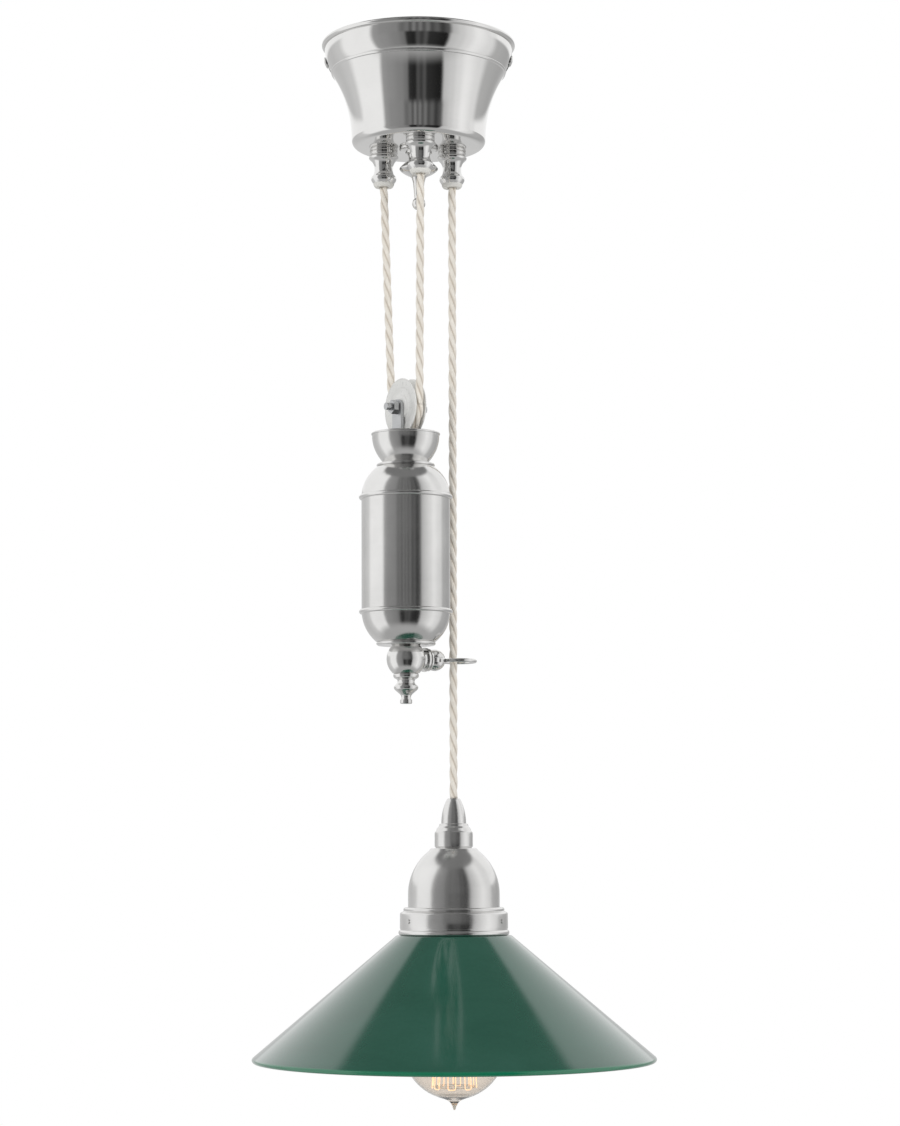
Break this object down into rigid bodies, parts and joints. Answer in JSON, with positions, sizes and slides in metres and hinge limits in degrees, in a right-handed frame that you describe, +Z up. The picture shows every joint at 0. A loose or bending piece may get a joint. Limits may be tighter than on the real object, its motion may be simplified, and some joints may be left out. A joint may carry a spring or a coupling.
{
  "type": "rise and fall pendant lamp",
  "caption": "Rise and fall pendant: a flared ceiling cup, a barrel counterweight with pulley and guide ring, and a lamp head with a coned glass shade, on twisted textile cord.",
  "frame": {"origin": "centre of the ceiling cup's rim, on the ceiling plane that the plate rests on", "axes": "+Z up out of the ceiling, +X to the right and -Y to the front; the front gland lies on -Y"},
  "size_m": [0.25, 0.2499, 0.663],
  "materials": {
    "polished_nickel": "polished",
    "satin_nickel": "satin",
    "zinc_steel": "satin",
    "iron": "matte",
    "brass_fittings": "satin",
    "white_plastic": "satin",
    "porcelain": "gloss",
    "cream_cord": "matte",
    "wire_sleeve": "matte",
    "green_glass": "gloss",
    "bulb_glass": "gloss",
    "clear_glass": "gloss",
    "filament": "satin"
  },
  "bodies": {
    "canopy": {"ceiling_plate": "zinc_steel", "centre_rod": "zinc_steel", "centre_rod_nut": "zinc_steel", "canopy_shell": "polished_nickel", "side_screws": "polished_nickel", "earth_screw": "brass_fittings", "gland_left": "polished_nickel", "gland_front": "polished_nickel", "gland_right": "polished_nickel", "gland_bushes": "white_plastic", "gland_nuts": "zinc_steel", "centre_finial": "polished_nickel", "pulley_bracket": "zinc_steel", "ceiling_axle": "zinc_steel", "ceiling_axle_nut": "zinc_steel", "anchor_bracket": "zinc_steel", "anchor_clamp": "zinc_steel", "anchor_screws": "zinc_steel", "terminal_block": "white_plastic", "terminal_screws": "brass_fittings", "cord_fixed_end": "cream_cord", "cord_left_strand": "cream_cord", "cord_front_strand": "cream_cord", "cord_ceiling_loop": "cream_cord", "cord_lamp_strand": "cream_cord"},
    "ceiling_pulley": {"ceiling_pulley": "white_plastic"},
    "counterweight": {"cord_pulley_loop": "cream_cord", "pulley_axle": "zinc_steel", "axle_nuts": "zinc_steel", "pulley_stirrup": "zinc_steel", "weight_cup": "satin_nickel", "weight_top_dome": "satin_nickel", "weight_barrel": "satin_nickel", "weight_bottom_dome": "satin_nickel", "weight_fill": "iron", "weight_rod": "zinc_steel", "weight_rod_nut": "zinc_steel", "weight_ball": "satin_nickel", "weight_finial": "satin_nickel", "guide_arm": "satin_nickel", "knuckle_pin": "zinc_steel"},
    "weight_pulley": {"weight_pulley": "white_plastic", "pulley_bush": "brass_fittings"},
    "guide_ring": {"guide_ring": "satin_nickel"},
    "lamp": {"nose_cone": "polished_nickel", "cord_lamp_end": "cream_cord", "holder_collar": "polished_nickel", "holder_nipple": "brass_fittings", "nipple_nut": "brass_fittings", "holder_dome": "polished_nickel", "gallery": "polished_nickel", "shade_screws": "polished_nickel", "holder_body": "porcelain", "holder_contacts": "brass_fittings", "lamp_wires": "wire_sleeve", "glass_shade": "green_glass", "bulb_glass": "bulb_glass", "bulb_cap": "brass_fittings", "bulb_mount": "clear_glass", "filament": "filament"}
  },
  "joints": [
    {"name": "lamp_slide", "type": "slide", "parent": "canopy", "child": "lamp", "axis": [0, 0, 1], "range_m": [-0.2, 0.05], "deforming": ["cord_lamp_strand"]},
    {"name": "weight_slide", "type": "slide", "parent": "canopy", "child": "counterweight", "axis": [0, 0, 1], "range_m": [-0.025, 0.1], "deforming": ["cord_left_strand", "cord_front_strand"]},
    {"name": "weight_pulley_spin", "type": "hinge", "parent": "counterweight", "child": "weight_pulley", "pos_m": [-0.00862, -0.00498, -0.2295], "axis": [0.866, 0.5, 0], "range_deg": [-360, 90]},
    {"name": "ceiling_pulley_spin", "type": "hinge", "parent": "canopy", "child": "ceiling_pulley", "pos_m": [0.01069, -0.00617, -0.03761], "axis": [0.866, -0.5, 0], "range_deg": [-540, 135]},
    {"name": "guide_ring_swing", "type": "hinge", "parent": "counterweight", "child": "guide_ring", "pos_m": [0.0094, 0.00543, -0.385], "axis": [0, 0, 1], "range_deg": [-15, 15]}
  ],
  "couplings": [
    {"joint": "weight_slide", "follows": "lamp_slide", "ratio": -0.5},
    {"joint": "weight_pulley_spin", "follows": "lamp_slide", "rad_per_m": 31.25},
    {"joint": "ceiling_pulley_spin", "follows": "lamp_slide", "rad_per_m": 46.75}
  ]
}
